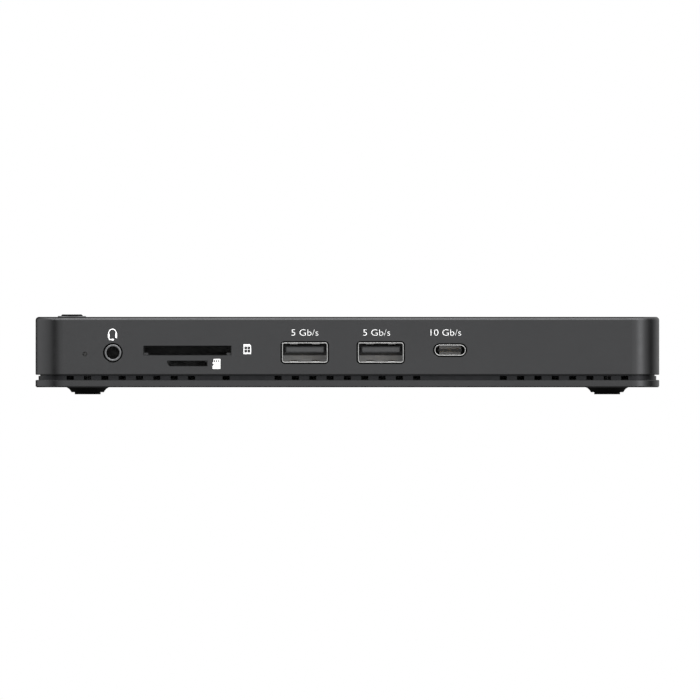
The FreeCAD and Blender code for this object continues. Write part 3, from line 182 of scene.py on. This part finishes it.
def paint(name, color, roughness):
    """A screen-printed layer: slightly uneven gloss."""
    made = Shader(name, color, roughness)
    made.vary_roughness(made.noise(3000, 2), 0.06)
    made.bump(made.noise(12000, 2), 0.002 * MM)
    return made.material


def clear(name, color):
    """Clear moulded plastic with a faint ripple."""
    made = Shader(name, color, 0.12, Transmission_Weight=1.0, IOR=1.49)
    made.bump(made.noise(2500, 2), 0.003 * MM)
    return made.material


MATERIALS = {
    "anodised_casing": anodised("anodised_casing", (0.0585, 0.0590, 0.0605), 0.33),
    # vent_band is the casing's anodised metal again, its colour darkened: painted shade for the
    # recess under the casing's edge, added to the shadow the recess casts.
    "vent_band": anodised("vent_band", (0.026, 0.0265, 0.028), 0.40),
    "rubber_feet": rubber("rubber_feet"),
    "screw_steel": stamped_metal("screw_steel", (0.42, 0.42, 0.43), 0.35),
    "circuit_board": circuit_board("circuit_board"),
    "button_black": moulded("button_black", (0.001, 0.001, 0.001), 0.7, Specular_IOR_Level=0.02),
    "bezel_grey": anodised("bezel_grey", (0.155, 0.157, 0.16), 0.3),
    "socket_plastic": moulded("socket_plastic", (0.025, 0.026, 0.027), 0.45),
    "shell_steel": stamped_metal("shell_steel", (0.42, 0.42, 0.415), 0.28),
    "spring_steel": stamped_metal("spring_steel", (0.45, 0.45, 0.45), 0.25),
    "contact_gold": stamped_metal("contact_gold", (0.83, 0.60, 0.27), 0.22),
    "clear_pipe": clear("clear_pipe", (0.012, 0.012, 0.013)),
    "led_white": moulded("led_white", (0.8, 0.8, 0.74), 0.35),
    "chip_black": moulded("chip_black", (0.018, 0.018, 0.019), 0.55),
    "thermal_grey": moulded("thermal_grey", (0.28, 0.3, 0.34), 0.7),
    "spreader_aluminium": stamped_metal("spreader_aluminium", (0.72, 0.72, 0.73), 0.4),
    "ferrite": moulded("ferrite", (0.06, 0.06, 0.064), 0.6),
    "capacitor_can": stamped_metal("capacitor_can", (0.7, 0.7, 0.71), 0.3),
}
TONGUE_BLACK = moulded("tongue_black", (0.008, 0.008, 0.008), 0.6, Specular_IOR_Level=0.2)
WHITE_INK = paint("white_ink", (0.86, 0.86, 0.86), 0.5)
PLATED_GREY = stamped_metal("plated_grey", (0.30, 0.30, 0.30), 0.5)
GREEN_LENS = moulded("green_lens", (0.10, 0.30, 0.09), 0.25, depth=0.002 * MM)
AMBER_LENS = moulded("amber_lens", (0.45, 0.22, 0.03), 0.25, depth=0.002 * MM)

for part in frame["record"]["subparts"]:
    mesh = nodes[part["node"]].data
    mesh.materials.clear()
    is_black = part["node"].endswith("usb_c_tongue")
    mesh.materials.append(TONGUE_BLACK if is_black else MATERIALS[part["material_slot"]])

# ---------------------------------------------------------------- mesh helpers


def add_piece(name, mesh, slot, body="root", material=None):
    """Link a new piece, let it ride on a body and give it its finish."""
    piece = bpy.data.objects.new(name, mesh)
    bpy.context.scene.collection.objects.link(piece)
    mesh.materials.clear()
    mesh.materials.append(material or MATERIALS[slot])
    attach(piece, body)
    return piece


class Solids:
    """Collects small bevelled blocks and bent strips into one mesh."""

    def __init__(self):
        self.shape = bmesh.new()

    def slab(self, corner, opposite, bevel):
        """A block between two corners, given in any order, its edges rounded."""
        low = [min(pair) for pair in zip(corner, opposite)]
        high = [max(pair) for pair in zip(corner, opposite)]
        made = bmesh.ops.create_cube(self.shape, size=1.0)["verts"]
        for vertex in made:
            vertex.co = [a + (b - a) * (c + 0.5) for a, b, c in zip(low, high, vertex.co)]
        edges = list({edge for vertex in made for edge in vertex.link_edges})
        bmesh.ops.bevel(self.shape, geom=edges, offset=bevel, segments=2, affect="EDGES")

    def ribbon(self, path, half_width, thickness, at):
        """A strip that follows (depth, height) points; at(x, depth, height) gives world places."""
        rings = []
        for depth, height in path:
            corners = [(-half_width, height), (half_width, height)]
            corners += [(half_width, height + thickness), (-half_width, height + thickness)]
            rings.append([self.shape.verts.new(at(x, depth, up)) for x, up in corners])
        for ring, after in zip(rings, rings[1:]):
            for side in range(4):
                other = (side + 1) % 4
                self.shape.faces.new((ring[side], ring[other], after[other], after[side]))
        self.shape.faces.new(rings[0])
        self.shape.faces.new(reversed(rings[-1]))

    def mesh(self, name):
        bmesh.ops.recalc_face_normals(self.shape, faces=self.shape.faces)
        mesh = bpy.data.meshes.new(name)
        self.shape.to_mesh(mesh)
        self.shape.free()
        return mesh


def bake_curve(curve_data):
    """A curve or text turned into a plain mesh."""
    holder = bpy.data.objects.new("holder", curve_data)
    bpy.context.scene.collection.objects.link(holder)
    bpy.context.view_layer.update()
    depsgraph = bpy.context.evaluated_depsgraph_get()
    mesh = bpy.data.meshes.new_from_object(holder.evaluated_get(depsgraph))
    bpy.data.objects.remove(holder)
    return mesh


def flat_shape(outlines, thickness):
    """Closed outlines in a plane, filled; an outline inside another one is a hole."""
    data = bpy.data.curves.new("outline", "CURVE")
    data.dimensions = "2D"
    data.fill_mode = "BOTH"
    data.extrude = thickness / 2
    for points in outlines:
        spline = data.splines.new("POLY")
        spline.points.add(len(points) - 1)
        for point, (x, y) in zip(spline.points, points):
            point.co = (x * MM, y * MM, 0, 1)
        spline.use_cyclic_u = True
    return bake_curve(data)


def stand_up(mesh, x, side, z):
    """Turn a mesh drawn in XY so that it faces -Y (or +Y on the rear), and put it in place."""
    for vertex in mesh.vertices:
        across, up, out = vertex.co
        if side == "front":
            vertex.co = (x + across, FRONT - out, z + up)
        else:
            vertex.co = (x - across, REAR + out, z + up)
    mesh.update()
    return mesh


# ---------------------------------------------------------------- outlines, in millimetres


def arc(radius_x, radius_y, start, end, count, centre=(0.0, 0.0)):
    """Points along an arc, angles in degrees."""
    angles = [math.radians(start + (end - start) * step / count) for step in range(count + 1)]
    return [
        (centre[0] + radius_x * math.cos(a), centre[1] + radius_y * math.sin(a)) for a in angles
    ]


def rounded_box(x0, y0, x1, y1, radius):
    corners = [(x1 - radius, y0 + radius, -90), (x1 - radius, y1 - radius, 0)]
    corners += [(x0 + radius, y1 - radius, 90), (x0 + radius, y0 + radius, 180)]
    points = []
    for cx, cy, start in corners:
        points += arc(radius, radius, start, start + 90, 5, (cx, cy))
    return points


def band(radius_x, radius_y, line, start, end, centre=(0.0, 0.0)):
    """A curved stroke between two angles, its outer edge at the radii given."""
    outer = arc(radius_x, radius_y, start, end, 24, centre)
    inner = arc(radius_x - line, radius_y - line, end, start, 24, centre)
    return outer + inner


# ---------------------------------------------------------------- printed marks

INK = 0.02 * MM
# How much thicker each further group of a mark is, so that overlapping faces never coincide.
INK_STEP = 0.2
# How much is taken off the edges of the lettering, as a share of its size.
LETTER_THINNING = 0.02
LETTER_HEIGHT = 1.8 * MM
SPEED_WIDTH = {"5 Gb/s": 7.75 * MM, "10 Gb/s": 8.7 * MM}


def print_text(name, words, x, base, side="front"):
    """Plain lettering centred on x and standing on a base line."""
    data = bpy.data.curves.new(name, "FONT")
    data.body = words
    data.extrude = INK / 2
    data.offset = -LETTER_THINNING
    mesh = bake_curve(data)
    digit = bpy.data.curves.new("digit", "FONT")
    digit.body = "5"
    digit_top = max(vertex.co.y for vertex in bake_curve(digit).vertices)
    left = min(vertex.co.x for vertex in mesh.vertices)
    right = max(vertex.co.x for vertex in mesh.vertices)
    for vertex in mesh.vertices:
        vertex.co.x = (vertex.co.x - (left + right) / 2) * SPEED_WIDTH[words] / (right - left)
        vertex.co.y *= LETTER_HEIGHT / digit_top
    add_piece(name, stand_up(mesh, x, side, base), "button_black", material=WHITE_INK)


def print_mark(name, outlines, x, z, side="front"):
    """One pictogram; its groups of outlines overlap, so each is a little thicker than the last."""
    for index, group in enumerate(outlines):
        mesh = stand_up(flat_shape(group, INK * (1 + INK_STEP * index)), x, side, z)
        add_piece(f"{name}_{index}", mesh, "button_black", material=WHITE_INK)


def headset_outlines():
    """A headband, two ear cups, and a microphone on a boom from the left cup."""
    cups = [
        [rounded_box(-1.28, -0.95, -0.82, 0.42, 0.18)],
        [rounded_box(0.86, -0.95, 1.32, 0.50, 0.18)],
    ]
    boom = [(-1.05, -0.95), (-0.80, -0.95), (-0.80, -1.22), (0.05, -1.22)]
    boom += [(0.05, -1.5), (-0.9, -1.5)]
    microphone = rounded_box(-0.25, -1.62, 0.45, -1.12, 0.22)
    return [[band(1.22, 1.46, 0.24, 0, 180, (0.02, 0.30))], *cups, [boom], [microphone]]


def sd_outlines():
    """A full-size card, solid, with four windows in it."""
    card = [(-1.07, -1.40), (1.07, -1.40), (1.07, 0.95), (0.62, 1.40), (-1.07, 1.40)]
    corners = ((-0.87, -1.0), (0.05, -1.0), (-0.87, -0.06), (0.05, -0.06))
    windows = [rounded_box(x, y, x + 0.82, y + 0.84, 0.05) for x, y in corners]
    return [[card] + windows]


def microsd_outlines():
    """A small card: solid, notched on its left edge, with a row of contacts along the top."""
    card = [(-1.1, -1.45), (1.1, -1.45), (1.1, 1.40), (-0.85, 1.40), (-0.85, 0.55), (-1.1, 0.35)]
    card += [(-1.1, 0.05), (-0.8, -0.05), (-0.8, -0.45), (-1.1, -0.55)]
    contacts = [rounded_box(x, 0.4, x + 0.34, 1.1, 0.04) for x in (-0.7, -0.1, 0.5)]
    return [[card] + contacts]


def monitor_outlines():
    """A screen on a stand."""
    screen = [rounded_box(-1.9, -0.75, 1.9, 1.55, 0.2), rounded_box(-1.6, -0.45, 1.6, 1.25, 0.08)]
    stand = [(-0.3, -0.75), (-0.3, -1.15), (-0.95, -1.15), (-0.95, -1.45), (0.95, -1.45)]
    stand += [(0.95, -1.15), (0.3, -1.15), (0.3, -0.75)]
    return [screen, [stand]]


def laptop_outlines():
    """An open laptop seen from the front."""
    screen = [rounded_box(-1.5, -0.75, 1.5, 1.3, 0.2), rounded_box(-1.2, -0.5, 1.2, 1.0, 0.08)]
    return [screen, [rounded_box(-2.1, -1.3, 2.1, -0.95, 0.17)]]


def plug_outlines():
    """A mains plug with two pins and a lead."""
    body = [(-0.8, 0.35), (0.8, 0.35), (0.8, -0.35)] + arc(0.8, 0.75, 0, -180, 14, (0, -0.35))
    pins = [[rounded_box(x, 0.3, x + 0.32, 1.35, 0.1)] for x in (-0.6, 0.28)]
    return [[body], *pins, [rounded_box(-0.16, -1.75, 0.16, -0.95, 0.1)]]


def network_outlines():
    """Three boxes joined by lines."""
    corners = ((-0.55, 0.7), (-1.85, -1.5), (0.75, -1.5))
    boxes = [[rounded_box(x, y, x + 1.1, y + 0.9, 0.1)] for x, y in corners]
    rail = [rounded_box(-1.42, -0.22, 1.42, 0.02, 0.05)]
    lines = ((-0.12, -0.1, 0.8), (-1.42, -0.7, -0.1), (1.18, -0.7, -0.1))
    drops = [[rounded_box(x, low, x + 0.24, high, 0.05)] for x, low, high in lines]
    return [*boxes, rail, *drops]


def power_outlines():
    """A broken ring with a bar at its gap."""
    return [[band(1.25, 1.25, 0.3, 118, 422)], [rounded_box(-0.15, 0.35, 0.15, 1.45, 0.1)]]


def printed_marks():
    jack = middle("audio_jack_sleeve")
    text_base = jack[2] + 4.9 * MM
    print_text("speed_mark_left", "5 Gb/s", middle("front_usb_a_left_shell")[0], text_base)
    for name, port, words in (
        ("speed_mark_middle", "front_usb_a_right_shell", "5 Gb/s"),
        ("speed_mark_right", "front_usb_c_shell", "10 Gb/s"),
    ):
        print_text(name, words, middle(port)[0] - 1.2 * MM, text_base)
    print_mark("headset_mark", headset_outlines(), jack[0] - 0.15 * MM, jack[2] + 5.14 * MM)
    print_mark("sd_mark", sd_outlines(), jack[0] + 38.4 * MM, jack[2] + 1.05 * MM)
    print_mark("microsd_mark", microsd_outlines(), jack[0] + 29.6 * MM, jack[2] - 3.15 * MM)
    rear_line = middle("host_usb_c_shell")[2] + 4.9 * MM
    power_x, host_x = middle("power_usb_c_shell")[0], middle("host_usb_c_shell")[0]
    print_mark("power_input_mark", plug_outlines(), power_x, rear_line, "rear")
    print_mark("host_mark", laptop_outlines(), host_x, rear_line, "rear")
    for name in ("displayport", "hdmi"):
        x, _, z = middle(name + "_shell")
        print_mark(name + "_mark", monitor_outlines(), x, z + 4.7 * MM, "rear")
    ethernet = middle("ethernet_jack_shield")
    print_mark("network_mark", network_outlines(), ethernet[0] + 11.3 * MM, ethernet[2], "rear")
    for side in ("left", "right"):
        x, _, z = middle(f"rear_usb_a_{side}_shell")
        print_text(f"rear_speed_mark_{side}", "5 Gb/s", x, z + 4.64 * MM, "rear")


def power_mark():
    """The mark on top of the button, which moves with the button."""
    cap_x, cap_y, _ = middle("power_button_cap")
    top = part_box("power_button_cap")[1][2]
    for index, group in enumerate(power_outlines()):
        mesh = flat_shape(group, INK * (1 + INK_STEP * index))
        for vertex in mesh.vertices:
            vertex.co += type(vertex.co)((cap_x, cap_y, top))
        name = f"power_mark_{index}"
        add_piece(name, mesh, "button_black", body="power_button", material=WHITE_INK)


# ---------------------------------------------------------------- socket detail


class Socket:
    """Where a socket is: its mouth, which way is inwards, and its half sizes."""

    def __init__(self, shell):
        low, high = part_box(shell)
        self.x, y, self.z = middle(shell)
        self.inward = 1 if y < 0 else -1
        self.mouth = low[1] if y < 0 else high[1]
        self.half_width = (high[0] - low[0]) / 2
        self.half_height = (high[2] - low[2]) / 2

    def at(self, x, depth, z):
        return (self.x + x, self.mouth + self.inward * depth, self.z + z)

    def shifted(self, x):
        """The same places moved sideways."""
        return lambda across, depth, z: self.at(x + across, depth, z)


# Thicknesses of the sockets' shells, the casing's wall and the sheet that springs are cut from.
SHELL = 0.3 * MM
WALL = 1.5 * MM
SHEET = 0.14 * MM
# The USB-A leaves: places across, half width, where they start and how long they are.
LEAF_PLACES = (-3.1 * MM, 3.1 * MM)
LEAF_HALF_WIDTH = 1.1 * MM
LEAF_START = 2.4 * MM
LEAF_LENGTH = 4.6 * MM
# The gap, as seen from the front, between the USB-A tongue's contacts and the plate behind them.
BACK_PLATE_DROP = 0.75 * MM
# The gaskets: width in millimetres, thickness, and clearance behind the wall.
GASKET_WIDTH = 0.8
GASKET_THICKNESS = 0.3 * MM
GASKET_CLEARANCE = 0.1 * MM
# Half thicknesses of the tongues.
USB_C_BLADE = 0.35 * MM
VIDEO_BLADE = 0.6 * MM
USB_C_PADS = 12
USB_C_PITCH = 0.5 * MM


def bulge(start, length, low, height):
    """A leaf's path: it leaves a surface, swells once and comes back to it."""
    steps = [step / 12 for step in range(13)]
    return [(start + length * t, low + height * math.sin(math.pi * t) ** 2) for t in steps]


def usb_a_detail(name):
    """Spring leaves on the floor and roof of the shell, and the plate across its back."""
    socket = Socket(name + "_shell")
    floor = SHELL - socket.half_height
    leaves = Solids()
    for x in LEAF_PLACES:
        at = socket.shifted(x)
        low_path = bulge(LEAF_START, LEAF_LENGTH, floor, 0.3 * MM)
        leaves.ribbon(low_path, LEAF_HALF_WIDTH, SHEET, at)
        high_path = bulge(LEAF_START, LEAF_LENGTH, -floor - SHEET, -0.22 * MM)
        leaves.ribbon(high_path, LEAF_HALF_WIDTH, SHEET, at)
    add_piece(name + "_leaves", leaves.mesh(name + "_leaves"), "shell_steel")

    side = name.split("_")[0]
    near, far = [end[1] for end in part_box(side + "_usb_a_contacts")]
    back = max(abs(socket.mouth - near), abs(socket.mouth - far))
    under_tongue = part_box(side + "_usb_a_contacts")[0][2] - socket.z
    plate = Solids()
    edge = socket.half_width - SHELL - 0.05 * MM
    low, high = floor + 0.02 * MM, under_tongue - BACK_PLATE_DROP
    plate.slab(socket.at(-edge, back - SHEET, low), socket.at(edge, back, high), 0.04 * MM)
    mesh = plate.mesh(name + "_back_plate")
    add_piece(name + "_back_plate", mesh, "shell_steel", material=PLATED_GREY)


def gasket(node, corner=None):
    """Black foam round a front socket, behind the wall, that fills the gap to the port."""
    socket = Socket(node)
    width, height = socket.half_width / MM, socket.half_height / MM
    corner = corner or height
    hole = rounded_box(-width, -height, width, height, corner)
    far_x, far_z = width + GASKET_WIDTH, height + GASKET_WIDTH
    outside = rounded_box(-far_x, -far_z, far_x, far_z, corner + 0.5)
    mesh = stand_up(flat_shape([outside, hole], GASKET_THICKNESS), socket.x, "front", socket.z)
    for vertex in mesh.vertices:
        vertex.co.y += WALL + GASKET_CLEARANCE + GASKET_THICKNESS / 2
    add_piece(node + "_gasket", mesh, "rubber_feet")


def usb_c_detail(name):
    """Twelve contacts on each face of the tongue, and the two grounding plates behind them."""
    socket = Socket(name + "_shell")
    blade = USB_C_BLADE
    pads = Solids()
    for index in range(USB_C_PADS):
        x = (index - (USB_C_PADS - 1) / 2) * USB_C_PITCH
        for side in (-1, 1):
            pads.slab(
                socket.at(x - 0.13 * MM, 1.6 * MM, side * (blade - 0.02 * MM)),
                socket.at(x + 0.13 * MM, 4.4 * MM, side * (blade + 0.012 * MM)),
                0.005 * MM,
            )
    add_piece(name + "_pads", pads.mesh(name + "_pads"), "contact_gold")
    plates = Solids()
    half = socket.half_width - SHELL - 1.1 * MM
    top = socket.half_height - SHELL - 0.06 * MM
    for side in (-1, 1):
        plates.slab(
            socket.at(-half, 4.9 * MM, side * (blade + 0.06 * MM)),
            socket.at(half, 5.55 * MM, side * top),
            0.05 * MM,
        )
    mesh = plates.mesh(name + "_ground_plates")
    add_piece(name + "_ground_plates", mesh, "shell_steel", material=PLATED_GREY)


def video_detail(name, pitch, above, below):
    """Contacts along both faces of the tongue, and two spring leaves in the shell's roof."""
    socket = Socket(name + "_shell")
    blade = VIDEO_BLADE
    pads = Solids()
    for side, count in ((1, above), (-1, below)):
        for index in range(count):
            x = (index - (count - 1) / 2) * pitch
            pads.slab(
                socket.at(x - 0.2 * MM, 1.8 * MM, side * (blade - 0.02 * MM)),
                socket.at(x + 0.2 * MM, 7.2 * MM, side * (blade + 0.05 * MM)),
                0.01 * MM,
            )
    add_piece(name + "_pads", pads.mesh(name + "_pads"), "contact_gold")
    leaves = Solids()
    roof = socket.half_height - SHELL
    for x in (-3.4 * MM, 3.4 * MM):
        path = bulge(2.0 * MM, 4.5 * MM, roof - SHEET, -0.3 * MM)
        leaves.ribbon(path, 1.0 * MM, SHEET, socket.shifted(x))
    add_piece(name + "_leaves", leaves.mesh(name + "_leaves"), "shell_steel")


def network_lights():
    """Two lenses in the lower corners of the network socket's face."""
    socket = Socket("ethernet_jack_body")
    for name, side, material in (("link_lens", -1, GREEN_LENS), ("speed_lens", 1, AMBER_LENS)):
        lens = Solids()
        lens.slab(
            socket.at(side * 3.8 * MM, -0.06 * MM, -5.25 * MM),
            socket.at(side * 7.0 * MM, 0.6 * MM, -3.85 * MM),
            0.12 * MM,
        )
        add_piece(name, lens.mesh(name), "led_white", material=material)


printed_marks()
power_mark()
for port in ("front_usb_a_left", "front_usb_a_right", "rear_usb_a_left", "rear_usb_a_right"):
    usb_a_detail(port)
for port in ("front_usb_c", "host_usb_c", "power_usb_c"):
    usb_c_detail(port)
gasket("front_usb_a_left_shell", corner=0.5)
gasket("front_usb_a_right_shell", corner=0.5)
gasket("front_usb_c_shell")
gasket("audio_jack_sleeve")
video_detail("displayport", 1.0 * MM, 10, 10)
video_detail("hdmi", 1.0 * MM, 10, 9)
network_lights()

# ---------------------------------------------------------------- light, floor and camera

# Soft patches of light and shade round the dock, in degrees and relative brightness: the bearing
# of the patch (0 is straight in front of the dock, growing towards its right side), its width,
# its height above the horizon, how tall it is, and how much it adds (below 0, it shades).
BASE_LIGHT = 1.07
PATCHES = [
    (0, 17, 0, 70, 0.34),
    (36, 11, 0, 70, 3.1),
    (-36, 13, 0, 70, -1.02),
    (-93, 26, 0, 70, 0.35),
    (-160, 24, 0, 70, -1.4),
    (88, 17, 0, 70, -1.02),
    (160, 24, 0, 70, -0.45),
    (0, 75, 49, 10, 8.0),
    (0, 300, 90, 26, -0.65),
]
DARKEST = 0.03
# Below the horizon the light falls off over DUSK degrees, to GROUND_LIGHT of its strength.
DUSK = 20
GROUND_LIGHT = 0.40


def studio_world():
    """A procedural studio: soft patches of light and shade, and plain white behind the dock."""
    world = bpy.data.worlds.new("studio")
    bpy.context.scene.world = world
    world.use_nodes = True
    tree = world.node_tree
    tree.nodes.clear()

    def math_node(operation, a, b=None):
        made = tree.nodes.new("ShaderNodeMath")
        made.operation = operation
        for socket, value in zip(made.inputs, (a, b)):
            if value is None:
                continue
            if isinstance(value, (int, float)):
                socket.default_value = value
            else:
                tree.links.new(value, socket)
        return made.outputs[0]

    split = tree.nodes.new("ShaderNodeSeparateXYZ")
    tree.links.new(tree.nodes.new("ShaderNodeTexCoord").outputs["Generated"], split.inputs[0])
    x, y, z = split.outputs
    bearing = math_node("ARCTAN2", x, math_node("MULTIPLY", y, -1.0))
    height = math_node("ARCSINE", z)

    def patch(centre, width, level, tall, strength):
        across = math_node("ABSOLUTE", math_node("SUBTRACT", bearing, math.radians(centre)))
        across = math_node("MINIMUM", across, math_node("SUBTRACT", 2 * math.pi, across))
        across = math_node("DIVIDE", across, math.radians(width))
        up = math_node("SUBTRACT", height, math.radians(level))
        up = math_node("DIVIDE", up, math.radians(tall))
        across = math_node("MULTIPLY", across, across)
        away = math_node("ADD", across, math_node("MULTIPLY", up, up))
        falloff = math_node("EXPONENT", math_node("MULTIPLY", away, -1.0))
        return math_node("MULTIPLY", falloff, strength)

    radiance = BASE_LIGHT
    for settings in PATCHES:
        radiance = math_node("ADD", radiance, patch(*settings))
    dusk = math_node("ADD", math_node("DIVIDE", height, math.radians(DUSK)), 1.0)
    dusk = math_node("MAXIMUM", math_node("MINIMUM", dusk, 1.0), GROUND_LIGHT)
    radiance = math_node("MULTIPLY", radiance, dusk)
    light = tree.nodes.new("ShaderNodeBackground")
    light.inputs["Color"].default_value = (1, 1, 1, 1)
    tree.links.new(math_node("MAXIMUM", radiance, DARKEST), light.inputs["Strength"])
    backdrop = tree.nodes.new("ShaderNodeBackground")
    backdrop.inputs["Color"].default_value = (1, 1, 1, 1)
    mix = tree.nodes.new("ShaderNodeMixShader")
    seen = tree.nodes.new("ShaderNodeLightPath").outputs["Is Camera Ray"]
    tree.links.new(seen, mix.inputs["Fac"])
    tree.links.new(light.outputs[0], mix.inputs[1])
    tree.links.new(backdrop.outputs[0], mix.inputs[2])
    output = tree.nodes.new("ShaderNodeOutputWorld")
    tree.links.new(mix.outputs[0], output.inputs["Surface"])


def floor():
    """A plain pale floor at the height that the feet stand on.

    Reflections leave it out, or it would show as bright lines in edges that face down.
    """
    mesh = bpy.data.meshes.new("floor")
    shape = bmesh.new()
    bmesh.ops.create_grid(shape, x_segments=1, y_segments=1, size=3.0)
    shape.to_mesh(mesh)
    shape.free()
    piece = bpy.data.objects.new("floor", mesh)
    bpy.context.scene.collection.objects.link(piece)
    pale = Shader("floor", (0.84, 0.84, 0.84), 0.6)
    pale.vary_roughness(pale.noise(40, 2), 0.03)
    mesh.materials.append(pale.material)
    piece.visible_glossy = False


def camera():
    """Level with the dock and square to its front, as a catalogue picture is taken."""
    data = bpy.data.cameras.new("camera")
    data.type = "ORTHO"
    data.ortho_scale = 0.2
    data.clip_start = 0.01
    data.clip_end = 10.0
    made = bpy.data.objects.new("camera", data)
    made.location = (0.743 * MM, -1.0, 12.66 * MM)
    made.rotation_euler = (math.radians(90), 0, 0)
    bpy.context.scene.collection.objects.link(made)
    bpy.context.scene.camera = made


studio_world()
floor()
camera()
bpy.context.scene.view_settings.view_transform = "Standard"
